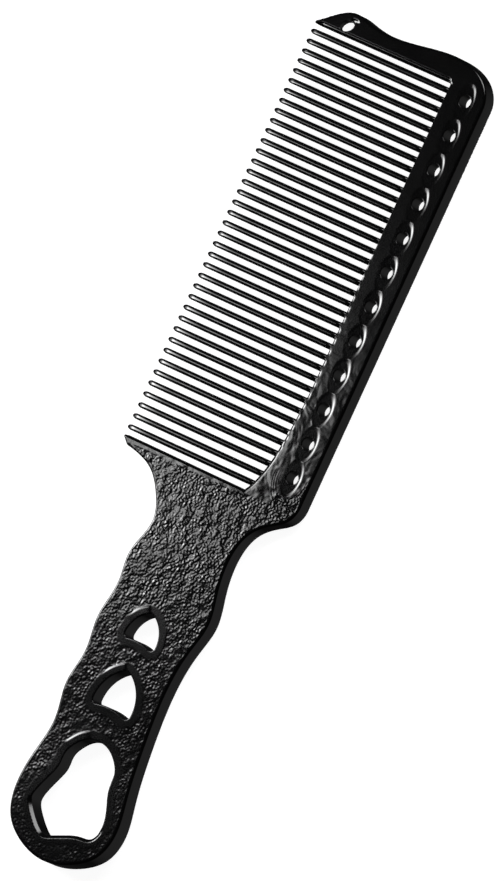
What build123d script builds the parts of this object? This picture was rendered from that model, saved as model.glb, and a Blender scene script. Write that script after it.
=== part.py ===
"""Barber's clipper comb: one black moulding with a grip handle and a row of graduated teeth.

X runs from the handle's end to the tip, Y from the spine to the teeth tips, Z out of the front
face. The origin is at the middle of the comb's box, on the flat back face. The outline is drawn
on planes whose own origin is on the spine's outer edge, so its second number is the distance
from that edge.
"""
import os

from build123d import *

# Driving dimensions, in millimetres
LENGTH = 240.0
WIDTH = 60.0
SPINE_THICKNESS = 5.0
GRIP_THICKNESS = 5.4
END_THICKNESS = 6.6
EDGE_ROUND = 0.5
TIP_ROUND = 0.5
ROOT_CORNER_ROUND = 0.5
OPENING_ROUND = 1.0
CORNER_ROUND = 1.2

# Teeth: their pitch, their gaps and their length all shrink evenly from the handle to the tip
TOOTH_COUNT = 39
FIRST_GAP_X = -7.1
FIRST_PITCH = 3.26
LAST_PITCH = 2.865
FIRST_GAP = 1.56
LAST_GAP = 1.20
LENGTH_LOSS = 0.5
TOOTH_THICKNESS = 4.0
TOOTH_FLAT = 0.45
ROOT_LINE = 12.1
# Along a tooth: distance from its tip, share of its root's width, share of its root's thickness
TOOTH_STATIONS = [
    (WIDTH - ROOT_LINE + 2, 1.0, 1.0), (11.5, 0.93, 0.88), (5.5, 0.89, 0.64),
    (1.2, 0.72, 0.34), (0.0, 0.3, 0.14),
]

# Spine holes, one every centimetre
HOLE_COUNT = 12
HOLE_PITCH = 10.0
HOLE_LINE = 6.0
HOLE_RADIUS = 1.75
RECESS_LENGTH = 10.9
RECESS_WIDTH = 5.6
RECESS_DEPTH = 0.55
RECESS_FLOOR = 0.7

# Oval hole in the end guard, leaning with the guard's outer edge, and its mouth in the back face
TIP_HOLE_CENTRE = (115.65, 48.6)
TIP_HOLE_LENGTH = 4.3
TIP_HOLE_WIDTH = 2.8
TIP_HOLE_LEAN = 117.0
MOUTH_CENTRE = (115.2, 49.5)
MOUTH_LENGTH = 6.2
MOUTH_WIDTH = 3.4
MOUTH_END_LENGTH = 3.8
MOUTH_END_WIDTH = 2.4
MOUTH_DEPTH = 3.9

# Where the spine meets the handle
NECK_X = FIRST_GAP_X - FIRST_GAP / 2

# The blank that the moulding is cut from is a little larger than the moulding
BLANK_HEIGHT = 8.0
REACH = 150.0
MIDDLE = SPINE_THICKNESS / 2
HALF_WIDTH = WIDTH / 2


def level(height):
    """A plane parallel to the back face, with its origin on the spine's outer edge."""
    return Plane(origin=(0, -HALF_WIDTH, height))


def gap_centre(number):
    """X of the middle of a gap between teeth; gap 0 is beside the handle."""
    shrink = (FIRST_PITCH - LAST_PITCH) / (TOOTH_COUNT - 1)
    return FIRST_GAP_X + number * FIRST_PITCH - shrink * number * (number - 1) / 2


def gap_width(number):
    """Width of a gap between teeth at its root."""
    return FIRST_GAP + (LAST_GAP - FIRST_GAP) * number / TOOTH_COUNT


END_GUARD_X = gap_centre(TOOTH_COUNT) + gap_width(TOOTH_COUNT) / 2
GUARD_ROOT = (END_GUARD_X, ROOT_LINE)
GUARD_TOOTH_TIP = (NECK_X + 0.25, 59.6)

# The spine's share of the moulding: it ends a little beyond the roots of the teeth, and reaches
# further from its outer edge where the root line curves away at the neck
REGION_END = LENGTH / 2 + 10
REGION_TOP = ROOT_LINE + 0.6
NECK_REGION_END = 30.0
NECK_REGION_TOP = 19.0
SPINE_REGION = [
    (NECK_X - 1, -1), (REGION_END, -1), (REGION_END, REGION_TOP), (NECK_REGION_END, REGION_TOP),
    (NECK_REGION_END, NECK_REGION_TOP), (NECK_X - 1, NECK_REGION_TOP),
]

# The handle's outline from the spine round the end to the guard tooth: crests, waists and turns
HANDLE_OUTLINE = [
    (-6.0, 0.0), (-10.5, 1.4), (-14.0, 6.1), (-18.0, 10.6), (-27.5, 13.05),
    (-36.0, 12.0), (-44.6, 10.45), (-53.0, 12.2), (-64.6, 13.7), (-82.0, 12.75),
    (-96.0, 10.65), (-105.6, 9.1), (-112.7, 11.1), (-117.6, 17.1), (-LENGTH / 2, 26.1),
    (-117.6, 35.2), (-112.6, 41.1), (-104.6, 43.6), (-94.5, 42.9), (-84.0, 41.6),
    (-74.2, 43.1), (-64.6, 41.8), (-55.1, 42.75), (-44.0, 41.4), (-36.0, 42.1),
    (-25.5, 39.7), (-18.9, 42.3), (-12.8, 48.1), (-11.6, 50.8), (-10.65, 54.3), (-10.2, 56.8),
]

# The end guard's outline from the spine's corner to its own tip
GUARD_OUTLINE = [
    (110.0, 0.0), (114.4, 1.3), (118.0, 5.2), (LENGTH / 2, 14.5), (118.2, 31.0),
    (118.9, 42.4), (119.7, 48.2), (118.0, 52.3), (114.4, 57.3), (END_GUARD_X, 59.3),
]

# The root line of the teeth: straight, then curving away from the spine at the neck
ROOT_CURVE = [(26.0, ROOT_LINE), (9.1, 13.2), (-0.6, 15.0), (NECK_X, 18.2)]

# The opening that the comb hangs by: it narrows towards the tip and its end wall is two slants
HANGING_OPENING = [
    (-108.9, 15.0), (-106.0, 13.9), (-100.0, 15.3), (-95.0, 17.1), (-91.0, 17.6),
    (-88.0, 19.6), (-85.6, 23.1), (-85.1, 26.0), (-85.8, 29.4), (-88.3, 32.2),
    (-91.5, 33.85), (-95.0, 33.9), (-99.0, 35.2), (-103.0, 36.8), (-106.0, 37.3),
    (-108.8, 35.5), (-112.3, 31.7), (-113.5, 29.2), (-112.9, 26.8), (-111.4, 23.2),
    (-110.0, 18.4),
]

# Finger holes: near corner, near bulge, nose, far bulge, far corner, bulge of the end wall
FINGER_HOLES = [
    [(-77.2, 20.8), (-70.2, 21.5), (-64.8, 27.0), (-69.8, 32.1), (-76.5, 33.1), (-75.7, 28.3)],
    [(-57.9, 22.6), (-52.3, 23.2), (-48.3, 27.6), (-52.0, 31.7), (-57.0, 32.6), (-56.5, 28.4)],
]

# The back of both guards in side view: it comes forward over their last centimetre
GUARD_BACK = [(47.0, -0.15), (52.0, 0.4), (56.0, 1.0), (61.0, 1.9)]

# The front of the handle in side view: where it starts to rise and where each level is reached
GRIP_START = -12.0
GRIP_FULL = -36.0
END_START = -80.0
END_FULL = -125.0


def is_wall(face):
    """Whether a face stands up from the back face."""
    return abs(face.normal_at().Z) < 0.5


def is_corner_at(point):
    """A test for the corners of a sketch that lie at a point."""
    return lambda corner: abs(corner.X - point[0]) + abs(corner.Y - point[1]) < 0.01


# ---------------------------------------------------------------- the whole moulding
with BuildPart() as moulding:
    with BuildSketch(level(0)):
        with BuildLine():
            Line(HANDLE_OUTLINE[0], GUARD_OUTLINE[0])
            Spline(*GUARD_OUTLINE, tangents=[(1, 0), (-0.63, 0.77)], tangent_scalars=[1, 1])
            Line(GUARD_OUTLINE[-1], GUARD_ROOT)
            Line(GUARD_ROOT, ROOT_CURVE[0])
            Spline(*ROOT_CURVE, tangents=[(-1, 0), (-0.8, 0.6)])
            Line(ROOT_CURVE[-1], GUARD_TOOTH_TIP)
            Line(GUARD_TOOTH_TIP, HANDLE_OUTLINE[-1])
            Spline(*HANDLE_OUTLINE, tangents=[(-1, 0), (0.2, 1)], tangent_scalars=[1, 1])
        make_face()
        for tip in (GUARD_OUTLINE[-1], GUARD_TOOTH_TIP, HANDLE_OUTLINE[-1]):
            fillet(vertices().filter_by(is_corner_at(tip)), TIP_ROUND)
        for root in (GUARD_ROOT, ROOT_CURVE[-1]):
            fillet(vertices().filter_by(is_corner_at(root)), ROOT_CORNER_ROUND)
    extrude(amount=BLANK_HEIGHT)

    # Front of the handle: level with the spine at the neck, thicker in the grip and at the end
    spine_end = (GRIP_START, SPINE_THICKNESS)
    grip_start = (GRIP_FULL, GRIP_THICKNESS)
    grip_end = (END_START, GRIP_THICKNESS)
    end_start = (END_FULL, END_THICKNESS)
    with BuildSketch(Plane.XZ):
        with BuildLine():
            Polyline((-REACH, 0), (REACH, 0), (REACH, SPINE_THICKNESS), spine_end)
            Spline(spine_end, grip_start, tangents=[(-1, 0), (-1, 0)])
            Line(grip_start, grip_end)
            Spline(grip_end, end_start, tangents=[(-1, 0), (-1, 0)])
            Polyline(end_start, (-REACH, END_THICKNESS), (-REACH, 0))
        make_face()
    extrude(amount=REACH, both=True, mode=Mode.INTERSECT)
    fillet(faces().filter_by(is_wall).edges().filter_by(Axis.Z, reverse=True), EDGE_ROUND)

    # The finger holes and the hanging opening go right through, and their rims are well rounded
    with BuildSketch(level(0)):
        for near, near_bulge, nose, far_bulge, far, waist in FINGER_HOLES:
            with BuildLine():
                ThreePointArc(near, near_bulge, nose)
                ThreePointArc(nose, far_bulge, far)
                ThreePointArc(far, waist, near)
            make_face()
        fillet(vertices(), CORNER_ROUND)
        with BuildLine():
            Spline(*HANGING_OPENING, periodic=True)
        make_face()
    extrude(amount=BLANK_HEIGHT, mode=Mode.SUBTRACT)
    opening_walls = faces(Select.LAST).filter_by(is_wall)
    fillet(opening_walls.edges().filter_by(Axis.Z, reverse=True), OPENING_ROUND)

    # Both guards get thinner over their last centimetre, on the back
    with BuildSketch(Plane.YZ.shift_origin((0, -HALF_WIDTH, 0))):
        with BuildLine():
            Spline(*GUARD_BACK)
            Polyline(GUARD_BACK[-1], (GUARD_BACK[-1][0], -1), (GUARD_BACK[0][0], -1), GUARD_BACK[0])
        make_face()
    extrude(amount=REACH, both=True, mode=Mode.SUBTRACT)

    # Measuring holes along the spine, each in a long oval dish on both faces
    with Locations(*[(number * HOLE_PITCH, HOLE_LINE - HALF_WIDTH) for number in range(HOLE_COUNT)]):
        Hole(HOLE_RADIUS)
    for face_height, inward in ((0, 1), (SPINE_THICKNESS, -1)):
        for number in range(HOLE_COUNT):
            floor_height = face_height + inward * RECESS_DEPTH
            for height, share in ((face_height, 1), (floor_height, RECESS_FLOOR)):
                with BuildSketch(level(height)):
                    with Locations((number * HOLE_PITCH, HOLE_LINE)):
                        Ellipse(RECESS_LENGTH / 2 * share, RECESS_WIDTH / 2 * share)
            loft(mode=Mode.SUBTRACT)

# ---------------------------------------------------------------- its three named regions
with BuildPart() as spine:
    add(moulding.part)
    with BuildSketch(level(0)):
        Polygon(*SPINE_REGION, align=None)
    extrude(amount=BLANK_HEIGHT, mode=Mode.INTERSECT)

with BuildPart() as handle:
    add(moulding.part)
    with BuildSketch(level(0)):
        Polygon(*SPINE_REGION, align=None)
    extrude(amount=BLANK_HEIGHT, mode=Mode.SUBTRACT)
    split(bisect_by=Plane.YZ, keep=Keep.BOTTOM)

with BuildPart() as end_guard:
    add(moulding.part)
    with BuildSketch(level(0)):
        Polygon(*SPINE_REGION, align=None)
    extrude(amount=BLANK_HEIGHT, mode=Mode.SUBTRACT)
    split(bisect_by=Plane.YZ)
    # An oval hole near the guard's tip, wider at the back than at the front
    with BuildSketch(level(0)):
        with Locations(Location(TIP_HOLE_CENTRE, TIP_HOLE_LEAN)):
            Ellipse(TIP_HOLE_LENGTH / 2, TIP_HOLE_WIDTH / 2)
    extrude(amount=BLANK_HEIGHT, mode=Mode.SUBTRACT)
    with BuildSketch(level(0)):
        with Locations(Location(MOUTH_CENTRE, TIP_HOLE_LEAN)):
            Ellipse(MOUTH_LENGTH / 2, MOUTH_WIDTH / 2)
    with BuildSketch(level(MOUTH_DEPTH)):
        with Locations(Location(TIP_HOLE_CENTRE, TIP_HOLE_LEAN)):
            Ellipse(MOUTH_END_LENGTH / 2, MOUTH_END_WIDTH / 2)
    loft(mode=Mode.SUBTRACT)


def tooth(number):
    """Tooth number 1 is beside the handle; each is a long six-sided wedge with a blunt tip."""
    left = gap_centre(number - 1) + gap_width(number - 1) / 2
    right = gap_centre(number) - gap_width(number) / 2
    tip = WIDTH - LENGTH_LOSS * (number - 1) / (TOOTH_COUNT - 1)
    with BuildPart() as wedge:
        for from_tip, width_share, thickness_share in TOOTH_STATIONS:
            half_width = (right - left) / 2 * width_share
            half_flat = half_width * TOOTH_FLAT
            half_thickness = TOOTH_THICKNESS / 2 * thickness_share
            middle = ((left + right) / 2, tip - from_tip - HALF_WIDTH, MIDDLE)
            with BuildSketch(Plane(middle, x_dir=(1, 0, 0), z_dir=(0, -1, 0))):
                Polygon(
                    (half_width, 0), (half_flat, half_thickness), (-half_flat, half_thickness),
                    (-half_width, 0), (-half_flat, -half_thickness), (half_flat, -half_thickness),
                    align=None,
                )
        loft(ruled=True)
        add(spine.part, mode=Mode.SUBTRACT)
    return wedge.part


# ---------------------------------------------------------------- write every named piece
handle.part.label = "handle"
spine.part.label = "spine"
end_guard.part.label = "end_guard"
pieces = [handle.part, spine.part, end_guard.part]
for number in range(1, TOOTH_COUNT + 1):
    piece = tooth(number)
    piece.label = f"tooth_{number:02d}"
    pieces.append(piece)

os.makedirs("parts", exist_ok=True)
for piece in pieces:
    export_step(piece, f"parts/{piece.label}.step")
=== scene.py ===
"""Looks of the barber's clipper comb: fine meshes in glossy black resin, with a pebbled grip.

Everything is in metres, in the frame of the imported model: X from the handle's end to the tip,
Y from the spine to the teeth tips, Z out of the front face, and the flat back at Z = 0.
"""
import math

import bmesh
import bpy
import numpy as np
from mathutils import Matrix, Vector, noise
from mathutils.geometry import delaunay_2d_cdt
from mathutils.kdtree import KDTree


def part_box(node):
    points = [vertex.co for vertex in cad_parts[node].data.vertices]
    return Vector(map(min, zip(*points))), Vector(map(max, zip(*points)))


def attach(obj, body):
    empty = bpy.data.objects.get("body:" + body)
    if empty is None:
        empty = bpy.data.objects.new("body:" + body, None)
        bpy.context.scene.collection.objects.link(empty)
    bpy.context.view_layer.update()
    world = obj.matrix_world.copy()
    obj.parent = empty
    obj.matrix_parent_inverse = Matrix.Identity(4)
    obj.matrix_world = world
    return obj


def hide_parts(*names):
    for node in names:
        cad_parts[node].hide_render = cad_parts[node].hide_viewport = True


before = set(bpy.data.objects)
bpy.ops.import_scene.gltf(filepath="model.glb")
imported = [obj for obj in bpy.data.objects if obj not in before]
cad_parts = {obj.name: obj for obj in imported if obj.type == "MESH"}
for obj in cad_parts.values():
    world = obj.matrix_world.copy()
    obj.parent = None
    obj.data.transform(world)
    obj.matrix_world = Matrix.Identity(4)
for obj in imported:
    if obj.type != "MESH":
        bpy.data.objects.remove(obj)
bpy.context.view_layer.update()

MM = 0.001

# Blender seeds its vector noise from the clock, so a fixed seed makes every run the same
NOISE_SEED = 1794838945
noise.seed_set(NOISE_SEED)

# ---------------------------------------------------------------- places read from the frame
SPINE_LOW, SPINE_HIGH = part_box("spine")
HANDLE_LOW, HANDLE_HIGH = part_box("handle")
GUARD_LOW, GUARD_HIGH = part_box("end_guard")
TEETH = sorted(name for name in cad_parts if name.startswith("tooth_"))
BACK_EDGE = SPINE_LOW.y
TIPS_LINE = GUARD_HIGH.y
SPINE_TOP = SPINE_HIGH.z
MIDDLE = SPINE_TOP / 2
NECK_X = SPINE_LOW.x
NECK_TOP_Y = SPINE_HIGH.y
GUARD_SEAM_Y = GUARD_LOW.y


def gaps_between_teeth():
    """Middle and half width of every gap in the row of teeth, guards included."""
    sides = [NECK_X]
    for tooth in TEETH:
        low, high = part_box(tooth)
        sides += [low.x, high.x]
    sides.append(GUARD_LOW.x)
    return [((left + right) / 2, (right - left) / 2)
            for left, right in zip(sides[::2], sides[1::2])]


GAPS = gaps_between_teeth()

# ---------------------------------------------------------------- sizes of the finer shapes
# spacing of the points along the walls, in the front face and in the back face
LOOP_SPACING = 0.3 * MM
FRONT_SPACING = 0.26 * MM
BACK_SPACING = 0.42 * MM
ROW_TOLERANCE = 0.15
SEAM_CLEARANCE = 0.55
EDGE_CLEARANCE = 0.1 * MM
RIM_ROW_ANGLES = [22, 42, 62, 80]

# how near two points of the CAD's mesh are joined, and what counts as on a seam or in line
CAD_MERGE = 0.001 * MM
CHAIN_MERGE = 0.02 * MM
SEAM_TOLERANCE = 0.005 * MM
IN_LINE_ANGLE = math.radians(0.02)
TRIANGULATION_TOLERANCE = 1e-9

# rounded rims: front edge, back edge, holes in the front and in the back, openings
EDGE_ROUND = 0.7 * MM
EDGE_LAST_ROW = 0.82 * MM
BACK_EDGE_ROUND = 0.25 * MM
HOLE_ROUND = 0.15 * MM
BACK_HOLE_REACH = 0.6 * MM
BACK_HOLE_DROP = 0.9 * MM
RIM_ROUND = 0.3 * MM

# a low raised lip beside the openings, on their side towards the tip and the teeth
LIP_HEIGHT = 0.12 * MM
LIP_WIDTH = 1.9 * MM
LIP_FLANK = 0.5 * MM
LIP_FACING = np.array([0.75, 0.66])
LIP_WINDOW = 0.09

# the front of the handle rises towards its end
GRIP_RISE = 0.4 * MM
GRIP_START = -12 * MM
GRIP_FULL = -36 * MM
END_START = -80 * MM
END_FULL = -122 * MM

# bevel beside the hanging opening at the handle's end
END_WALL_X = -104 * MM
END_WALL_FADE = 3 * MM
END_WALL_FACING = 0.4
END_WALL_REACH = 0.9 * MM
END_WALL_DROP = 0.6 * MM

# the back of both guards comes forward towards their tips
GUARD_THIN_START = 11.0 * MM
GUARD_THIN = 1.4 * MM
GUARD_THIN_POWER = 1.4

# the front of the guard tooth falls away gently beyond this Y
GUARD_TIP_START = 21.5 * MM
GUARD_TIP_FALL = 0.02

# oval dishes round the spine's holes, deepest on the side of the spine's outer edge
EYE_LENGTH = 10.9 * MM
EYE_WIDTH = 5.6 * MM
EYE_DEPTH = 0.14 * MM
EYE_FLOOR_TILT = 0.026
EYE_SLOPE = 0.44 * MM
# on the side of the tip the walls of the dishes are gentler and deeper, except at the neck
EYE_SLOPE_MORE = 0.36 * MM
EYE_DEPTH_MORE = 0.07 * MM
EYE_SIDE_REACH = 3 * MM
EYE_MORE_START = 6 * MM
EYE_MORE_REACH = 16 * MM

# the shoulder above the roots of the teeth: wide at the neck, then only over the gaps
ROOTS_LOW = 9 * MM
ROOTS_HIGH = 20 * MM
SHOULDER_INSET = 0.2 * MM
SHOULDER_WIDE = 1.35 * MM
SHOULDER_WIDE_REACH = 18 * MM
SHOULDER_NARROW = 0.9 * MM
SHOULDER_NARROW_END = 85 * MM
SHOULDER_NARROW_FADE = 50 * MM
SHOULDER_PAST_GAP = 0.3 * MM
SHOULDER_GAP_FADE = 0.4 * MM
SHOULDER_SLOPE = 0.85
SHOULDER_ROUND = 0.9 * MM

# the tip hole is at its true size near the front, and its mouth in the back face is wider,
# most of all on the side that faces away from the spine
TIP_HOLE_LEVEL = 4.3 * MM
MOUTH_DEPTH = 3.4 * MM
MOUTH_REACH = 0.5 * MM
MOUTH_EXTRA = 1.3 * MM
MOUTH_FACING = np.array([-0.45, 0.89])

# small scoop in the front beside the tip hole, on the side of the outer edge
SCOOP_FROM_HOLE = (2.0 * MM, -1.9 * MM)
SCOOP_WIDTH = 0.95 * MM
SCOOP_LENGTH = 2.6 * MM
SCOOP_SLOPE = (0.1, -0.24)
SCOOP_EDGE = 5

# beside a gap the guards have a bevel; the end guard also has a narrow facet like a tooth's front
FACET_START = 0.5 * MM
FACET_END = 1.0 * MM
FACET_STEP = 1.12 * MM
BEVEL_FOOT = 0.1
BESIDE_GAP_FACING = 0.9
END_GUARD_ROOT = 13 * MM
GUARD_TOOTH_ROOT = 18 * MM

# pebbled grain of the grip
GRAIN_HEIGHT = 0.10 * MM
GRAIN_SIZE = 0.9 * MM
# the grain is worn flatter towards the handle's end
GRAIN_FADE_START = -25 * MM
GRAIN_FADE_END = -110 * MM
GRAIN_FADING = 0.5
# the pebbles are cells, drifted and roughened, higher in patches and creased
GRAIN_DRIFT = (0.5, 0.55)
GRAIN_CELLS = (1.3, 0.5)
GRAIN_ROUGH = (1.6, 0.7)
GRAIN_PATCHES = (0.2, 0.85, 0.7)
GRAIN_CREASES = (0.42, 0.7)
# polished parts: round the first dish, along the edge, beside the first gap
POLISH_ROUND_DISH = 5.3 * MM
POLISH_STRETCH = 1.1
POLISH_PAST_DISH = 0.5 * MM
POLISH_BLEND = 0.8 * MM
POLISH_EDGE = 0.45 * MM
POLISH_EDGE_BLEND = 0.5 * MM
POLISH_LIP_BLEND = 0.4 * MM
STREAK_WIDTH = 0.8 * MM
STREAK_BLEND = 0.3 * MM
STREAK_START = 17 * MM

# flow marks of the moulding at the neck, and fine ridges round the first dish
SWIRL_HEIGHT = 0.042 * MM
SWIRL_SIZE = 3.2 * MM
SWIRL_DRIFT = (0.6, 1.1)
SWIRL_FINE = (2.7, 0.4)
SWIRL_BEFORE_NECK = 4 * MM
SWIRL_BLEND = 3 * MM
SWIRL_END = 60 * MM
SWIRL_FADE = 50 * MM
RIDGE_HEIGHT = 0.012 * MM
RIDGE_SPACING = 0.9 * MM
RIDGE_REACH = 4.0 * MM
RIDGE_FLATTENING = 0.75
RIDGE_PAST_HOLE = 1.5 * MM
RIDGE_FADE = 3 * MM
FRONT_SEED = 0.0
BACK_SEED = 41.0

# teeth: bevelled blades that thin and narrow towards a blunt rounded tip
TOOTH_THICKNESS = 4.0 * MM
TOOTH_THINNING = 0.55
TOOTH_THIN_LENGTH = 3.5 * MM
TOOTH_SECTION = [
    (1, 0.1), (0.52, 1), (-0.52, 1), (-1, 0.1),
    (-1, -0.1), (-0.52, -1), (0.52, -1), (1, -0.1),
]
TOOTH_CORNER_CUTS = (0.1, 0.25)
TOOTH_EMBED = 1.3 * MM
TOOTH_END_ROUND = 1.3 * MM
TOOTH_NOSE_ROUND = 3.0 * MM
TOOTH_TAPER = 0.1
TOOTH_TAPER_LENGTH = 9 * MM
TOOTH_FINE_LENGTH = 14 * MM
TOOTH_LONG_STEPS = 12
TOOTH_FINE_STEPS = 22
TOOTH_NOSE_STEPS = 15
TOOTH_NOSE_LAST_ANGLE = 87
# the flat of the section, up to this share of the half width, widens towards the tip
FLAT_LIMIT = 0.6
FLAT_WIDENING = 0.4
FLAT_WIDENING_LENGTH = 6 * MM


def smooth_step(value):
    """0 below 0, 1 above 1, and an even slope between."""
    clipped = np.clip(value, 0, 1)
    return clipped * clipped * (3 - 2 * clipped)


# ---------------------------------------------------------------- outlines of the moulding
def wall_segments(node, height):
    """Straight bits of a CAD node's outline at a height, as pairs of points."""
    mesh = bmesh.new()
    mesh.from_mesh(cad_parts[node].data)
    bmesh.ops.remove_doubles(mesh, verts=mesh.verts, dist=CAD_MERGE)
    geometry = mesh.verts[:] + mesh.edges[:] + mesh.faces[:]
    bmesh.ops.bisect_plane(mesh, geom=geometry, plane_co=(0, 0, height), plane_no=(0, 0, 1),
                           clear_inner=True, clear_outer=True)
    for vert in mesh.verts:
        vert.co.z = 0
    pairs = [(edge.verts[0].co.copy(), edge.verts[1].co.copy()) for edge in mesh.edges]
    mesh.free()
    return pairs


def on_seam(first, second):
    """Whether both points lie on one of the planes where two CAD nodes meet."""
    for axis, place in ((0, NECK_X), (1, NECK_TOP_Y), (1, GUARD_SEAM_Y)):
        if max(abs(first[axis] - place), abs(second[axis] - place)) < SEAM_TOLERANCE:
            return True
    return False


def outline_loops():
    """Closed loops round the whole moulding and round each of its openings and holes."""
    chain = bmesh.new()
    for node, height in (("handle", MIDDLE), ("spine", MIDDLE), ("end_guard", TIP_HOLE_LEVEL)):
        for first, second in wall_segments(node, height):
            if not on_seam(first, second):
                chain.edges.new((chain.verts.new(first), chain.verts.new(second)))
    bmesh.ops.remove_doubles(chain, verts=chain.verts, dist=CHAIN_MERGE)
    unused = set(chain.verts)
    loops = []
    while unused:
        start = min(unused, key=lambda vert: vert.co[:])
        unused.remove(start)
        loop = [start]
        while True:
            ahead = [edge.other_vert(loop[-1]) for edge in loop[-1].link_edges]
            ahead = [vert for vert in ahead if vert in unused]
            if not ahead:
                break
            unused.remove(ahead[0])
            loop.append(ahead[0])
        loops.append(np.array([vert.co.xy[:] for vert in loop]))
    chain.free()
    return loops


def without_points_in_line(points):
    """Leaves out the points that lie on the straight line between their neighbours."""
    ahead = np.roll(points, -1, axis=0) - points
    behind = points - np.roll(points, 1, axis=0)
    turn = np.abs(np.arctan2(behind[:, 0] * ahead[:, 1] - behind[:, 1] * ahead[:, 0],
                             (behind * ahead).sum(1)))
    return points[turn > IN_LINE_ANGLE]


def resampled(points, spacing):
    """A smooth closed curve through the points, sampled at an even spacing."""
    chord = np.roll(points, -1, axis=0) - points
    length = np.linalg.norm(chord, axis=1)
    direction = chord / length[:, None]
    before_direction = np.roll(direction, 1, axis=0)
    before_length = np.roll(length, 1)
    tangent = (before_direction * length[:, None] + direction * before_length[:, None])
    tangent /= (length + before_length)[:, None]
    after_length = np.roll(length, -1)
    total = length.sum()
    count = int(round(total / spacing))
    along = np.arange(count) * total / count
    starts = np.concatenate([[0], np.cumsum(length)[:-1]])
    span = np.searchsorted(starts, along, side="right") - 1
    share = ((along - starts[span]) / length[span])[:, None]
    following = (span + 1) % len(points)
    reach = length[span][:, None]
    # a span much longer than its neighbours is a straight edge, and stays straight
    start_weight = np.minimum(1, 3 * before_length[span] / length[span])[:, None]
    end_weight = np.minimum(1, 3 * after_length[span] / length[span])[:, None]
    start_tangent = tangent[span] * start_weight + direction[span] * (1 - start_weight)
    end_tangent = tangent[following] * end_weight + direction[span] * (1 - end_weight)
    return ((2 * share**3 - 3 * share**2 + 1) * points[span]
            + (share**3 - 2 * share**2 + share) * reach * start_tangent
            + (-2 * share**3 + 3 * share**2) * points[following]
            + (share**3 - share**2) * reach * end_tangent)


def signed_area(points):
    """Area of a loop, positive if it runs anticlockwise."""
    ahead = np.roll(points, -1, axis=0)
    return 0.5 * (points[:, 0] * ahead[:, 1] - points[:, 1] * ahead[:, 0]).sum()


def inward_normals(points):
    """Unit normals of a loop on its left, the side of the material."""
    tangent = np.roll(points, -1, axis=0) - np.roll(points, 1, axis=0)
    tangent /= np.linalg.norm(tangent, axis=1)[:, None]
    return np.stack([-tangent[:, 1], tangent[:, 0]], axis=1)


def crossing_on_line(points, axis, place, near):
    """Moves the loop's vertex nearest to a seam's end onto the seam, and returns its index."""
    ahead = np.roll(points, -1, axis=0)
    crosses = (points[:, axis] - place) * (ahead[:, axis] - place) <= 0
    other = 1 - axis
    candidates = np.nonzero(crosses)[0]
    best = candidates[np.argmin(np.abs(points[candidates, other] - near))]
    after = (best + 1) % len(points)
    share = (place - points[best, axis]) / (points[after, axis] - points[best, axis])
    meeting = points[best] + share * (points[after] - points[best])
    moved = best if share < 0.5 else after
    points[moved] = meeting
    return moved


class Boundary:
    """The loops of one kind, with the distance from any point to the nearest of them."""

    def __init__(self, loops):
        self.loops = loops
        fine = [resampled(loop, LOOP_SPACING / 4) for loop in loops]
        self.points = np.concatenate(fine)
        self.normals = np.concatenate([inward_normals(loop) for loop in fine])
        self.tree = KDTree(len(self.points))
        for index, point in enumerate(self.points):
            self.tree.insert((point[0], point[1], 0), index)
        self.tree.balance()

    def measured(self, places):
        """Distance to the loops, positive on the side of the material, and the wall's normal."""
        nearest = [self.tree.find((x, y, 0))[1] for x, y in places]
        gap = places - self.points[nearest]
        along = (gap * self.normals[nearest]).sum(1)
        return np.sign(along) * np.linalg.norm(gap, axis=1), self.normals[nearest]

    def distance(self, places):
        """Distance from each place to the loops, positive on the side of the material."""
        return self.measured(places)[0]


raw_loops = sorted((without_points_in_line(loop) for loop in outline_loops()),
                   key=lambda loop: -abs(signed_area(loop)))
loops = []
for number, loop in enumerate(raw_loops):
    smooth = resampled(loop, LOOP_SPACING)
    clockwise = signed_area(smooth) < 0
    if clockwise == (number == 0):
        smooth = smooth[::-1].copy()
    loops.append(smooth)

outer_loop = loops[0]
opening_loops = [loop for loop in loops[1:] if loop[:, 0].mean() < NECK_X]
spine_holes = [loop for loop in loops[1:] if loop[:, 0].mean() > NECK_X and loop[:, 1].mean() < 0]
tip_holes = [loop for loop in loops[1:] if loop[:, 0].mean() > NECK_X and loop[:, 1].mean() > 0]

outer = Boundary([outer_loop])
openings = Boundary(opening_loops)
holes = Boundary(spine_holes + tip_holes)
tip_hole = Boundary(tip_holes)
eye_centres = [loop.mean(axis=0) for loop in spine_holes]


# ---------------------------------------------------------------- heights of both faces
def grain_mask(x, y, edge, opening):
    """1 where the grip has its pebbled grain, 0 on the polished parts."""
    from_back = y - BACK_EDGE
    first_x, first_y = min(eye_centres, key=lambda centre: centre[0])
    beside_roots = np.minimum(x - NECK_X, from_back - ROOTS_LOW)
    round_first_eye = POLISH_ROUND_DISH - np.hypot(x - first_x, POLISH_STRETCH * (y - first_y))
    past_first_eye = x - first_x - POLISH_PAST_DISH
    polished = np.maximum(np.maximum(beside_roots, round_first_eye), past_first_eye)
    mask = smooth_step(-polished / POLISH_BLEND + 0.3)
    worn = smooth_step((GRAIN_FADE_START - x) / (GRAIN_FADE_START - GRAIN_FADE_END))
    mask *= 1 - GRAIN_FADING * worn
    mask *= smooth_step((edge - POLISH_EDGE) / POLISH_EDGE_BLEND)
    mask *= smooth_step((opening - LIP_WIDTH - LIP_FLANK * 0.7) / POLISH_LIP_BLEND)
    beside_gap = (x > NECK_X - STREAK_WIDTH) & (from_back > STREAK_START)
    mask *= 1 - beside_gap * smooth_step((x - NECK_X + STREAK_WIDTH) / STREAK_BLEND)
    return mask


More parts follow.
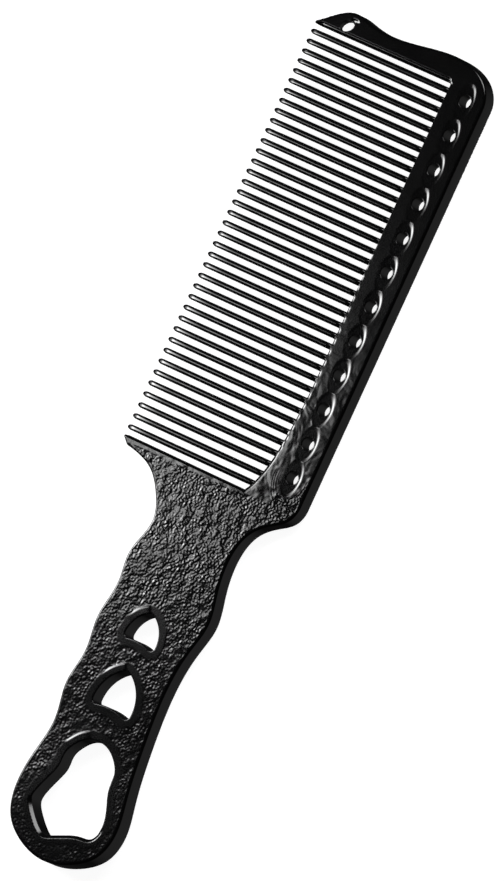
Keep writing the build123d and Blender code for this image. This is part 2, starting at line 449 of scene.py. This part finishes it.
def pebbles(x, y, seed):
    """Rounded random pebbles, about -1 to 1."""
    heights = np.empty(len(x))
    for index in range(len(x)):
        place = Vector((x[index] / GRAIN_SIZE, y[index] / GRAIN_SIZE, seed))
        drift = noise.noise_vector(place * GRAIN_DRIFT[0]) * GRAIN_DRIFT[1]
        cells = noise.voronoi(place + drift)[0]
        rough = noise.noise(place * GRAIN_ROUGH[0] + Vector((7, 3, 0)))
        patchy = noise.noise(place * GRAIN_PATCHES[0] + Vector((0, 9, 5)))
        crease = noise.noise(place * GRAIN_CREASES[0] + Vector((4, 0, 8)))
        pebble = GRAIN_CELLS[0] * (cells[1] - cells[0]) - GRAIN_CELLS[1] + GRAIN_ROUGH[1] * rough
        patchy = GRAIN_PATCHES[1] + GRAIN_PATCHES[2] * patchy
        heights[index] = patchy * pebble + GRAIN_CREASES[1] * crease
    return heights


def swirls(x, y, seed):
    """Slow flow marks of the moulding, about -1 to 1."""
    heights = np.empty(len(x))
    for index in range(len(x)):
        place = Vector((x[index] / SWIRL_SIZE, y[index] / SWIRL_SIZE, seed))
        place += noise.noise_vector(place * SWIRL_DRIFT[0]) * SWIRL_DRIFT[1]
        heights[index] = noise.noise(place) + SWIRL_FINE[1] * noise.noise(place * SWIRL_FINE[0])
    return heights


def eye_depth(x, y):
    """Depth of the oval dishes round the spine's holes, and 1 inside them."""
    depth = np.zeros(len(x))
    in_dish = np.zeros(len(x))
    for centre_x, centre_y in eye_centres:
        across = (y - centre_y) / (EYE_WIDTH / 2)
        radius = np.hypot((x - centre_x) / (EYE_LENGTH / 2), across)
        inside = (1 - radius) * EYE_WIDTH / 2
        past_neck = smooth_step((centre_x - EYE_MORE_START) / EYE_MORE_REACH)
        towards_tip = smooth_step((x - centre_x) / EYE_SIDE_REACH) * past_neck
        floor = EYE_DEPTH + EYE_DEPTH_MORE * towards_tip
        floor = floor - EYE_FLOOR_TILT * (y - centre_y + EYE_WIDTH / 2)
        slope = EYE_SLOPE + EYE_SLOPE_MORE * towards_tip
        depth = np.maximum(depth, floor * smooth_step(inside / slope))
        in_dish = np.maximum(in_dish, smooth_step(inside / EYE_SLOPE + 0.5))
    return depth, in_dish


def flow_ridges(x, y):
    """Fine ridges of the moulding that run round the first dish, about -1 to 1."""
    first_x, first_y = min(eye_centres, key=lambda centre: centre[0])
    stretched_y = (y - first_y) * EYE_LENGTH / EYE_WIDTH * RIDGE_FLATTENING
    radius = np.hypot(x - first_x, stretched_y) - EYE_LENGTH / 2
    near = smooth_step(radius / RIDGE_SPACING)
    near *= smooth_step((RIDGE_REACH - radius) / RIDGE_REACH * 2)
    beside = smooth_step((first_x + RIDGE_PAST_HOLE - x) / RIDGE_FADE)
    return near * beside * np.sin(2 * math.pi * radius / RIDGE_SPACING)


def tooth_half_thickness(from_tip):
    """Half the thickness of a tooth at a distance from its tip."""
    return TOOTH_THICKNESS / 2 * (1 - TOOTH_THINNING * np.exp(-from_tip / TOOTH_THIN_LENGTH))


def shoulder_drop(x, y, edge):
    """How far the front falls away over the roots of the teeth."""
    from_back = y - BACK_EDGE
    at_roots = (x > NECK_X + SHOULDER_INSET) & (x < GUARD_LOW.x)
    at_roots &= (from_back > ROOTS_LOW) & (from_back < ROOTS_HIGH)
    wide = smooth_step((SHOULDER_WIDE_REACH - x) / SHOULDER_WIDE_REACH)
    over_gap = np.zeros(len(x))
    for centre, half_width in GAPS:
        beyond = np.abs(x - centre) - half_width - SHOULDER_PAST_GAP
        over_gap = np.maximum(over_gap, smooth_step(-beyond / SHOULDER_GAP_FADE))
    over_gap *= smooth_step((SHOULDER_NARROW_END - x) / SHOULDER_NARROW_FADE)
    reach = SHOULDER_NARROW * np.maximum(over_gap, wide) + (SHOULDER_WIDE - SHOULDER_NARROW) * wide
    inward = np.maximum(reach - edge, 0)
    rounded_part = inward**2 / (2 * SHOULDER_ROUND)
    straight_part = inward - SHOULDER_ROUND / 2
    fall = np.where(inward < SHOULDER_ROUND, rounded_part, straight_part)
    return at_roots * SHOULDER_SLOPE * fall, at_roots


def guard_facet(x, y, edge, normal, level):
    """Height of the guards beside a gap: a steep bevel, and on the end guard a narrow facet."""
    from_back = y - BACK_EDGE
    on_guard_tooth = (x < 0) & (normal[:, 0] < -BESIDE_GAP_FACING) & (from_back > GUARD_TOOTH_ROOT)
    on_end_guard = (x > GUARD_LOW.x - EDGE_ROUND) & (normal[:, 0] > BESIDE_GAP_FACING)
    on_end_guard &= from_back > END_GUARD_ROOT
    beside_gap = (edge < FACET_STEP) & (on_guard_tooth | on_end_guard)
    facet = MIDDLE + tooth_half_thickness(np.maximum(TIPS_LINE - y, 0))
    facet = np.where(x < 0, level, facet)
    bevel_foot = MIDDLE + BEVEL_FOOT * (facet - MIDDLE)
    bevel = bevel_foot + (facet - bevel_foot) * np.clip(edge / FACET_START, 0, 1)
    step = facet + (level - facet) * np.clip((edge - FACET_END) / (FACET_STEP - FACET_END), 0, 1)
    return beside_gap, np.minimum(bevel, step)


def scoop_depth(x, y):
    """Depth of the small scoop beside the tip hole: a flat floor that falls towards the tips."""
    hole_x, hole_y = tip_holes[0].mean(axis=0)
    across = x - hole_x - SCOOP_FROM_HOLE[0]
    along = y - hole_y - SCOOP_FROM_HOLE[1]
    radius = np.hypot(2 * across / SCOOP_WIDTH, 2 * along / SCOOP_LENGTH)
    inside = smooth_step((1 - radius) * SCOOP_EDGE + 0.5)
    floor = SCOOP_SLOPE[0] * (across - SCOOP_WIDTH / 2)
    floor += SCOOP_SLOPE[1] * (along + SCOOP_LENGTH / 2)
    return -inside * floor


def mouth_rise(places):
    """How far the back face rises round the tip hole."""
    distance, normal = tip_hole.measured(places)
    reach = MOUTH_REACH + MOUTH_EXTRA * np.clip(normal @ MOUTH_FACING, 0, 1)
    return MOUTH_DEPTH * (1 - np.clip(distance / reach, 0, 1))


def round_drop(distance, reach, drop):
    """How far a rim rounded with an ellipse falls at a distance from its wall."""
    share = np.clip((reach - distance) / reach, 0, 1)
    return drop * (1 - np.sqrt(1 - share**2))


def relief(places, seed, front):
    """Height of the front face, or how far the back face is above Z = 0, at each place."""
    x, y = places.T
    edge, edge_normal = outer.measured(places)
    opening, opening_normal = openings.measured(places)
    edge = np.maximum(edge, 0)
    opening = np.maximum(opening, 0)
    hole = np.maximum(holes.distance(places), 0)
    mask = grain_mask(x, y, edge, opening)
    detail = np.zeros(len(x))
    grained = mask > 0
    detail[grained] = GRAIN_HEIGHT * mask[grained] * pebbles(x[grained], y[grained], seed)
    near_neck = smooth_step((x - NECK_X + SWIRL_BEFORE_NECK) / SWIRL_BLEND)
    near_neck *= smooth_step((SWIRL_END - x) / SWIRL_FADE)
    swirled = near_neck > 0
    dish, in_dish = eye_depth(x, y)
    near_neck *= 1 - in_dish
    detail[swirled] += SWIRL_HEIGHT * near_neck[swirled] * swirls(x[swirled], y[swirled], seed)
    detail += RIDGE_HEIGHT * (1 - in_dish) * flow_ridges(x, y) - dish
    shoulder, at_roots = shoulder_drop(x, y, edge)
    edge_round = EDGE_ROUND if front else BACK_EDGE_ROUND
    drop = np.where(at_roots, shoulder, round_drop(edge, edge_round, edge_round))
    drop = np.maximum(drop, round_drop(hole, HOLE_ROUND, HOLE_ROUND))
    drop = np.maximum(drop, round_drop(opening, RIM_ROUND, RIM_ROUND))
    if not front:
        drop = np.maximum(drop, round_drop(hole, BACK_HOLE_REACH, BACK_HOLE_DROP))
        from_tips = np.clip((y - (TIPS_LINE - GUARD_THIN_START)) / GUARD_THIN_START, 0, 1)
        rise = GUARD_THIN * from_tips**GUARD_THIN_POWER
        return np.maximum(rise - detail + drop, mouth_rise(places))
    level = SPINE_TOP + GRIP_RISE * smooth_step((GRIP_START - x) / (GRIP_START - GRIP_FULL))
    end_rise = HANDLE_HIGH.z - SPINE_TOP - GRIP_RISE
    level += end_rise * smooth_step((END_START - x) / (END_START - END_FULL))
    lipped = smooth_step((opening_normal @ LIP_FACING - 1 + LIP_WINDOW) / LIP_WINDOW)
    detail += LIP_HEIGHT * lipped * smooth_step((LIP_WIDTH + LIP_FLANK - opening) / LIP_FLANK)
    detail -= scoop_depth(x, y)
    end_wall = smooth_step((END_WALL_X - x) / END_WALL_FADE)
    end_wall *= smooth_step(-opening_normal[:, 0] / END_WALL_FACING)
    bevel = END_WALL_DROP * np.clip(1 - opening / END_WALL_REACH, 0, 1)
    drop = np.maximum(drop, end_wall * bevel)
    beside_gap, facet = guard_facet(x, y, edge, edge_normal, level)
    drop = np.where(beside_gap, 0, drop)
    on_guard_tooth = (x < 0) & (y > GUARD_TIP_START)
    level -= on_guard_tooth * GUARD_TIP_FALL * (y - GUARD_TIP_START)
    height = level + detail - drop
    return np.where(beside_gap, np.minimum(height, facet), height)


# ---------------------------------------------------------------- triangles of both faces
def ring_distances():
    """Distances from each kind of wall at which a rounded rim needs rows of points."""
    shares = 1 - np.cos(np.radians(RIM_ROW_ANGLES))
    return {
        "outer": np.append(EDGE_ROUND * shares, [EDGE_LAST_ROW, FACET_END, FACET_STEP]),
        "holes": np.append(HOLE_ROUND * shares[1::2], [BACK_HOLE_REACH / 2, BACK_HOLE_REACH]),
        "openings": np.append(RIM_ROUND * shares, END_WALL_REACH),
    }


def face_points(spacing):
    """Points inside the moulding's outline: rows along the rims, then an even grid."""
    rings = ring_distances()
    rows = []
    for boundary, kind in ((outer, "outer"), (holes, "holes"), (openings, "openings")):
        for distance in rings[kind]:
            for loop in boundary.loops:
                row = loop + inward_normals(loop) * distance
                off = np.abs(boundary.distance(row) - distance)
                rows.append(row[off < ROW_TOLERANCE * distance])
    rows = np.concatenate(rows)
    step_y = spacing * math.sqrt(3) / 2
    lines = np.arange(BACK_EDGE, TIPS_LINE, step_y)
    columns = np.arange(HANDLE_LOW.x, GUARD_HIGH.x, spacing)
    grid = np.array([(x + (line % 2) * spacing / 2, y)
                     for line, y in enumerate(lines) for x in columns])
    inside = outer.distance(grid) > FACET_STEP + EDGE_CLEARANCE
    grid = grid[inside]
    grid = grid[holes.distance(grid) > HOLE_ROUND]
    grid = grid[openings.distance(grid) > RIM_ROUND]
    return np.concatenate([rows, grid])


def seam_lines():
    """The lines where the handle and the end guard meet the spine, from wall to wall."""
    corner = np.array([NECK_X, NECK_TOP_Y])
    low = outer_loop[crossing_on_line(outer_loop, 0, NECK_X, BACK_EDGE)].copy()
    high = outer_loop[crossing_on_line(outer_loop, 1, NECK_TOP_Y, NECK_X)].copy()
    inner = outer_loop[crossing_on_line(outer_loop, 1, GUARD_SEAM_Y, GUARD_LOW.x)].copy()
    tip = outer_loop[crossing_on_line(outer_loop, 1, GUARD_SEAM_Y, GUARD_HIGH.x)].copy()
    lines = []
    for stops in ((low, corner, high), (inner, tip)):
        line = [stops[0]]
        for start, end in zip(stops, stops[1:]):
            count = max(1, int(round(np.linalg.norm(end - start) / LOOP_SPACING)))
            line += [start + (end - start) * step / count for step in range(1, count + 1)]
        lines.append(np.array(line))
    return lines


def region_of(x, y):
    """The CAD node that a place on the face belongs to."""
    if x < NECK_X or (x < 0 and y > NECK_TOP_Y):
        return "handle"
    if x > 0 and y > GUARD_SEAM_Y:
        return "end_guard"
    return "spine"


def triangulated(spacing, seams):
    """Places and triangles of one face; the loops come first, then the seams."""
    places = []
    edges = []
    for loop in loops:
        start = len(places)
        places += [tuple(point) for point in loop]
        edges += [(start + step, start + (step + 1) % len(loop)) for step in range(len(loop))]
    seam_rows = []
    for line in seams:
        known = {place: index for index, place in enumerate(places)}
        row = []
        for point in map(tuple, line):
            if point not in known:
                known[point] = len(places)
                places.append(point)
            row.append(known[point])
        seam_rows.append(row)
        edges += list(zip(row, row[1:]))
    fixed = len(places)
    inner = face_points(spacing)
    near_seam = KDTree(sum(len(line) for line in seams))
    for index, point in enumerate(np.concatenate(seams)):
        near_seam.insert((point[0], point[1], 0), index)
    near_seam.balance()
    clear = [near_seam.find((x, y, 0))[2] > SEAM_CLEARANCE * spacing for x, y in inner]
    places += [tuple(point) for point in inner[np.array(clear)]]
    made = delaunay_2d_cdt([Vector(place) for place in places], edges, [], 0,
                            TRIANGULATION_TOLERANCE)
    new_places = np.array([place[:] for place in made[0]])
    triangles = np.array([triangle[:] for triangle in made[2] if len(triangle) == 3])
    # keep the order of the fixed points, whatever order the triangulation gives
    renamed = {}
    for index, originals in enumerate(made[3]):
        for original in originals:
            if original < fixed:
                renamed[original] = index
    centres = new_places[triangles].mean(axis=1)
    solid = outer.distance(centres) > 0
    solid &= openings.distance(centres) > 0
    solid &= holes.distance(centres) > 0
    loop_rows = []
    start = 0
    for loop in loops:
        loop_rows.append([renamed[start + step] for step in range(len(loop))])
        start += len(loop)
    seam_rows = [[renamed[index] for index in row] for row in seam_rows]
    return new_places, triangles[solid], loop_rows, seam_rows


def anticlockwise(places, triangles):
    """Triangles turned so that each runs anticlockwise seen from above."""
    a, b, c = (places[triangles[:, column]] for column in range(3))
    area = (b[:, 0] - a[:, 0]) * (c[:, 1] - a[:, 1]) - (b[:, 1] - a[:, 1]) * (c[:, 0] - a[:, 0])
    turned = triangles.copy()
    turned[area < 0] = turned[area < 0][:, ::-1]
    return turned


# ---------------------------------------------------------------- one surface, cut in three
def body_surface():
    """Vertices and faces of the whole moulding without its teeth, with each face's CAD node."""
    seams = seam_lines()
    front_places, front_triangles, front_loops, front_seams = triangulated(FRONT_SPACING, seams)
    back_places, back_triangles, back_loops, back_seams = triangulated(BACK_SPACING, seams)
    front_triangles = anticlockwise(front_places, front_triangles)
    back_triangles = anticlockwise(back_places, back_triangles)[:, ::-1]
    front_heights = relief(front_places, FRONT_SEED, True)
    back_heights = relief(back_places, BACK_SEED, False)
    shift = len(front_places)
    vertices = np.concatenate([np.column_stack([front_places, front_heights]),
                               np.column_stack([back_places, back_heights])])
    faces = [tuple(face) for face in front_triangles]
    faces += [tuple(face) for face in back_triangles + shift]
    for front_row, back_row in zip(front_loops, back_loops):
        for step in range(len(front_row)):
            after = (step + 1) % len(front_row)
            faces.append((front_row[after], front_row[step],
                          back_row[step] + shift, back_row[after] + shift))
    nodes = []
    for face in faces:
        centre = vertices[list(face)].mean(axis=0)
        nodes.append(region_of(centre[0], centre[1]))
    caps = []
    for front_row, back_row in zip(front_seams, back_seams):
        for here, after in zip(range(len(front_row)), range(1, len(front_row))):
            caps.append((front_row[here], front_row[after],
                         back_row[after] + shift, back_row[here] + shift))
    return vertices, faces, nodes, caps


def smooth_normals(vertices, faces):
    """Area-weighted normal of each vertex."""
    normals = np.zeros_like(vertices)
    for size in (3, 4):
        group = np.array([face for face in faces if len(face) == size])
        if not len(group):
            continue
        across = vertices[group[:, 2]] - vertices[group[:, 0]]
        other = vertices[group[:, -1]] - vertices[group[:, 1]] if size == 4 else (
            vertices[group[:, 2]] - vertices[group[:, 1]])
        face_normals = np.cross(across, other)
        for column in range(size):
            np.add.at(normals, group[:, column], face_normals)
    length = np.linalg.norm(normals, axis=1)
    length[length == 0] = 1
    return normals / length[:, None]


def new_piece(name, vertices, faces, normals=None):
    """A mesh object from vertices and faces, smooth, with given normals where they are given."""
    mesh = bpy.data.meshes.new(name)
    mesh.from_pydata([tuple(vertex) for vertex in vertices], [], faces)
    mesh.polygons.foreach_set("use_smooth", [True] * len(mesh.polygons))
    if normals is not None:
        mesh.normals_split_custom_set(normals)
    piece = bpy.data.objects.new(name, mesh)
    bpy.context.scene.collection.objects.link(piece)
    return piece


def make_body_pieces():
    """The handle, the spine and the end guard, closed by a flat wall where they meet."""
    vertices, faces, nodes, caps = body_surface()
    normals = smooth_normals(vertices, faces)
    pieces = {}
    for node in ("handle", "spine", "end_guard"):
        own = [face for face, owner in zip(faces, nodes) if owner == node]
        edge_uses = {}
        for face in own:
            for here, after in zip(face, face[1:] + face[:1]):
                edge_uses[(here, after)] = True
        own_caps = []
        for cap in caps:
            if (cap[0], cap[1]) in edge_uses:
                own_caps.append((cap[1], cap[0], cap[3], cap[2]))
            elif (cap[1], cap[0]) in edge_uses:
                own_caps.append(cap)
        used = sorted({index for face in own for index in face})
        local = {index: place for place, index in enumerate(used)}
        local_faces = [tuple(local[index] for index in face) for face in own + own_caps]
        loop_normals = [tuple(normals[index]) for face in own for index in face]
        for cap in own_caps:
            a, b, c = (Vector(vertices[index]) for index in cap[:3])
            flat = (b - a).cross(c - b).normalized()
            loop_normals += [tuple(flat)] * 4
        pieces[node] = new_piece(node + "_body", vertices[used], local_faces, loop_normals)
    return pieces


# ---------------------------------------------------------------- teeth
def cut_corners(points, share):
    """Cuts every corner of a closed outline once, at a share of each side."""
    cut = []
    for here, after in zip(points, points[1:] + points[:1]):
        for part in (share, 1 - share):
            u = (1 - part) * here[0] + part * after[0]
            v = (1 - part) * here[1] + part * after[1]
            cut.append((u, v))
    return cut


def rounded(from_end, radius):
    """Share of the full size at a distance from a rounded end."""
    share = min(1.0, max(0.0, (radius - from_end) / radius))
    return math.sqrt(1 - share**2)


def make_tooth(node):
    """One tooth: a bevelled blade that thins towards its rounded tip."""
    low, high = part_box(node)
    half_width = (high.x - low.x) / 2
    middle_x = (high.x + low.x) / 2
    section = TOOTH_SECTION
    for share in TOOTH_CORNER_CUTS:
        section = cut_corners(section, share)
    tip = high.y
    root = low.y - TOOTH_EMBED
    fine_start = tip - TOOTH_FINE_LENGTH
    long_part = np.linspace(root, fine_start, TOOTH_LONG_STEPS)
    fine_part = np.linspace(fine_start, tip - TOOTH_NOSE_ROUND, TOOTH_FINE_STEPS)[1:]
    nose_angles = np.radians(np.linspace(0, TOOTH_NOSE_LAST_ANGLE, TOOTH_NOSE_STEPS)[1:])
    nose_part = tip - TOOTH_NOSE_ROUND * (1 - np.sin(nose_angles))
    stations = np.concatenate([long_part, fine_part, nose_part])
    vertices = []
    for y in stations:
        from_tip = tip - y
        taper = 1 - TOOTH_TAPER * math.exp(-from_tip / TOOTH_TAPER_LENGTH)
        across = half_width * taper * rounded(from_tip, TOOTH_END_ROUND)
        up = tooth_half_thickness(from_tip) * rounded(from_tip, TOOTH_NOSE_ROUND)
        widened = 1 + FLAT_WIDENING * math.exp(-from_tip / FLAT_WIDENING_LENGTH)
        for u, v in section:
            if abs(u) < FLAT_LIMIT:
                u *= widened
            vertices.append((middle_x + across * u, y, MIDDLE + up * v))
    count = len(section)
    faces = []
    for ring in range(len(stations) - 1):
        for step in range(count):
            after = (step + 1) % count
            faces.append((ring * count + step, ring * count + after,
                          (ring + 1) * count + after, (ring + 1) * count + step))
    faces.append(tuple(range(count))[::-1])
    faces.append(tuple(range((len(stations) - 1) * count, len(stations) * count)))
    return new_piece(node + "_body", vertices, faces)


# ---------------------------------------------------------------- materials
RESIN_DARK = (0.0010, 0.0010, 0.0011, 1)
RESIN_PALE = (0.0022, 0.0022, 0.0024, 1)
RESIN_ROUGHNESS = 0.12
RESIN_CLOUD_SCALE = 90
GLOSS_SKIN_SIZE = 2.5 * MM
GLOSS_SKIN_HEIGHT = 0.004 * MM
GRAINED_SKIN_SIZE = 0.35 * MM
GRAINED_SKIN_HEIGHT = 0.003 * MM


def resin(name, skin_size, skin_height):
    """Black moulded resin: slightly uneven colour and gloss, with a fine skin."""
    material = bpy.data.materials.new(name)
    material.use_nodes = True
    nodes = material.node_tree.nodes
    links = material.node_tree.links
    shader = nodes["Principled BSDF"]
    shader.inputs["IOR"].default_value = 1.5
    place = nodes.new("ShaderNodeTexCoord").outputs["Object"]

    cloud = nodes.new("ShaderNodeTexNoise")
    cloud.inputs["Scale"].default_value = RESIN_CLOUD_SCALE
    cloud.inputs["Detail"].default_value = 4
    links.new(place, cloud.inputs["Vector"])
    colour = nodes.new("ShaderNodeMix")
    colour.data_type = "RGBA"
    colour.inputs["A"].default_value = RESIN_DARK
    colour.inputs["B"].default_value = RESIN_PALE
    links.new(cloud.outputs["Fac"], colour.inputs["Factor"])
    links.new(colour.outputs["Result"], shader.inputs["Base Color"])

    gloss = nodes.new("ShaderNodeMapRange")
    gloss.inputs["To Min"].default_value = RESIN_ROUGHNESS * 0.75
    gloss.inputs["To Max"].default_value = RESIN_ROUGHNESS * 1.3
    links.new(cloud.outputs["Fac"], gloss.inputs["Value"])
    links.new(gloss.outputs["Result"], shader.inputs["Roughness"])

    skin = nodes.new("ShaderNodeTexNoise")
    skin.inputs["Scale"].default_value = 1 / skin_size
    skin.inputs["Detail"].default_value = 3
    links.new(place, skin.inputs["Vector"])
    bump = nodes.new("ShaderNodeBump")
    bump.inputs["Strength"].default_value = 1
    bump.inputs["Distance"].default_value = skin_height
    links.new(skin.outputs["Fac"], bump.inputs["Height"])
    links.new(bump.outputs["Normal"], shader.inputs["Normal"])
    return material


# ---------------------------------------------------------------- floor, light and camera
def plane(name, width, height):
    """A flat rectangle about the origin, facing +Z."""
    mesh = bpy.data.meshes.new(name)
    corners = [(-width / 2, -height / 2, 0), (width / 2, -height / 2, 0),
               (width / 2, height / 2, 0), (-width / 2, height / 2, 0)]
    mesh.from_pydata(corners, [], [(0, 1, 2, 3)])
    made = bpy.data.objects.new(name, mesh)
    bpy.context.scene.collection.objects.link(made)
    return made


def aimed(obj, place, target):
    """Puts an object at a place with its +Z towards a target."""
    obj.location = place
    obj.rotation_euler = (Vector(target) - Vector(place)).to_track_quat("Z", "Y").to_euler()


def softbox(name, place, target, width, height, radiance, softness):
    """A glowing panel that fades towards its edges, seen in reflections and not by the camera."""
    panel = plane(name, width, height)
    aimed(panel, place, target)
    panel.visible_camera = False
    panel.visible_shadow = False
    material = bpy.data.materials.new(name)
    material.use_nodes = True
    nodes = material.node_tree.nodes
    links = material.node_tree.links
    nodes.clear()
    output = nodes.new("ShaderNodeOutputMaterial")
    glow = nodes.new("ShaderNodeEmission")
    centred = nodes.new("ShaderNodeTexCoord")
    size = nodes.new("ShaderNodeVectorMath")
    size.operation = "MULTIPLY"
    size.inputs[1].default_value = (2 / width, 2 / height, 0)
    links.new(centred.outputs["Object"], size.inputs[0])
    split = nodes.new("ShaderNodeSeparateXYZ")
    links.new(size.outputs["Vector"], split.inputs["Vector"])
    fades = []
    for axis in ("X", "Y"):
        away = nodes.new("ShaderNodeMath")
        away.operation = "ABSOLUTE"
        links.new(split.outputs[axis], away.inputs[0])
        fade = nodes.new("ShaderNodeMapRange")
        fade.interpolation_type = "SMOOTHSTEP"
        fade.inputs["From Min"].default_value = 1
        fade.inputs["From Max"].default_value = 1 - softness
        links.new(away.outputs["Value"], fade.inputs["Value"])
        fades.append(fade)
    both = nodes.new("ShaderNodeMath")
    both.operation = "MULTIPLY"
    links.new(fades[0].outputs["Result"], both.inputs[0])
    links.new(fades[1].outputs["Result"], both.inputs[1])
    strength = nodes.new("ShaderNodeMath")
    strength.operation = "MULTIPLY"
    strength.inputs[1].default_value = radiance
    links.new(both.outputs["Value"], strength.inputs[0])
    links.new(strength.outputs["Value"], glow.inputs["Strength"])
    links.new(glow.outputs["Emission"], output.inputs["Surface"])
    panel.data.materials.append(material)


FLOOR_SIZE = 6.0
FLOOR_GAP = 0.05 * MM
FLOOR_GREY = (0.25, 0.25, 0.25, 1)
FLOOR_GLOW = 0.95
WHITE = (1, 1, 1, 1)


def make_floor():
    """A plain white sweep that the comb lies on, evenly lit."""
    floor = plane("floor", FLOOR_SIZE, FLOOR_SIZE)
    floor.location.z = -FLOOR_GAP
    floor.visible_glossy = False
    floor.visible_diffuse = False
    material = bpy.data.materials.new("floor_white")
    material.use_nodes = True
    nodes = material.node_tree.nodes
    shader = nodes["Principled BSDF"]
    shader.inputs["Base Color"].default_value = FLOOR_GREY
    shader.inputs["Roughness"].default_value = 1
    shader.inputs["Specular IOR Level"].default_value = 0
    shader.inputs["Emission Color"].default_value = WHITE
    shader.inputs["Emission Strength"].default_value = FLOOR_GLOW
    floor.data.materials.append(material)


KEY_ANGLE = math.radians(57)
KEY_DISTANCE = 0.46
KEY_X = -0.002
KEY_PLACE = (KEY_X, KEY_DISTANCE * math.sin(KEY_ANGLE), KEY_DISTANCE * math.cos(KEY_ANGLE))
ROOM_GLOW = 0.015
GLOW_FROM_BELOW = 0.17
BELOW = (0, -0.5, -0.866)
BELOW_REACH = 0.7

# name: place, target, width, height, radiance, softness
SOFTBOXES = {
    "key_softbox": (KEY_PLACE, (KEY_X, 0, 0), 0.24, 0.46, 28, 1.0),
    "low_softbox": ((0, 0.425, 0.2), (0, 0, 0), 0.42, 0.18, 10, 0.8),
    "neck_softbox": ((0.003, 0.294, 0.405), (0.003, 0, 0), 0.12, 0.15, 12.5, 0.8),
    "tip_softbox": ((0.8, -0.12, 0.67), (-0.1, 0, 0), 0.7, 0.7, 8, 0.7),
}


def make_lights():
    """Soft panels over the teeth's side and beyond the tip, and a dim room, paler underneath."""
    for name, settings in SOFTBOXES.items():
        softbox(name, *settings)
    world = bpy.data.worlds.new("studio")
    world.use_nodes = True
    nodes = world.node_tree.nodes
    links = world.node_tree.links
    direction = nodes.new("ShaderNodeTexCoord").outputs["Generated"]
    underneath = nodes.new("ShaderNodeVectorMath")
    underneath.operation = "DOT_PRODUCT"
    underneath.inputs[1].default_value = BELOW
    links.new(direction, underneath.inputs[0])
    strength = nodes.new("ShaderNodeMapRange")
    strength.inputs["From Min"].default_value = BELOW_REACH
    strength.inputs["From Max"].default_value = 1
    strength.inputs["To Min"].default_value = ROOM_GLOW
    strength.inputs["To Max"].default_value = GLOW_FROM_BELOW
    links.new(underneath.outputs["Value"], strength.inputs["Value"])
    surroundings = nodes["Background"]
    surroundings.inputs["Color"].default_value = WHITE
    links.new(strength.outputs["Result"], surroundings.inputs["Strength"])
    bpy.context.scene.world = world
    bpy.context.scene.view_settings.view_transform = "Standard"


CAMERA_TILT = math.radians(30)
CAMERA_ROLL = math.radians(24.62)
CAMERA_DISTANCE = 4.9
VIEW_HEIGHT = 234.3 * MM
VIEW_CENTRE = Vector((4.7, -6.6, 2.5)) * MM
SENSOR_WIDTH = 36
VIEW_END = 20


def make_camera():
    """A long lens, tilted towards the spine's side, with the comb's tip up and to the right."""
    towards = Vector((0, -math.sin(CAMERA_TILT), math.cos(CAMERA_TILT)))
    along = Vector((1, 0, 0))
    across = towards.cross(along)
    right = along * math.sin(CAMERA_ROLL) - across * math.cos(CAMERA_ROLL)
    up = along * math.cos(CAMERA_ROLL) + across * math.sin(CAMERA_ROLL)
    data = bpy.data.cameras.new("camera")
    data.sensor_width = SENSOR_WIDTH
    data.lens = data.sensor_width * CAMERA_DISTANCE / VIEW_HEIGHT
    data.clip_end = VIEW_END
    camera = bpy.data.objects.new("camera", data)
    camera.matrix_world = Matrix.Translation(VIEW_CENTRE + towards * CAMERA_DISTANCE) @ Matrix(
        (right, up, towards)).transposed().to_4x4()
    bpy.context.scene.collection.objects.link(camera)
    bpy.context.scene.camera = camera


# ---------------------------------------------------------------- put together
gloss = resin("gloss_black_resin", GLOSS_SKIN_SIZE, GLOSS_SKIN_HEIGHT)
grained = resin("grained_black_resin", GRAINED_SKIN_SIZE, GRAINED_SKIN_HEIGHT)

made = {node: (piece, gloss, "gloss_resin") for node, piece in make_body_pieces().items()}
made["handle"] = (made["handle"][0], grained, "grained_resin")
for node in TEETH:
    made[node] = (make_tooth(node), gloss, "gloss_resin")
for node, (piece, material, slot) in made.items():
    piece.data.materials.append(material)
    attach(piece, "root")
    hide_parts(node)

make_camera()
make_floor()
make_lights()
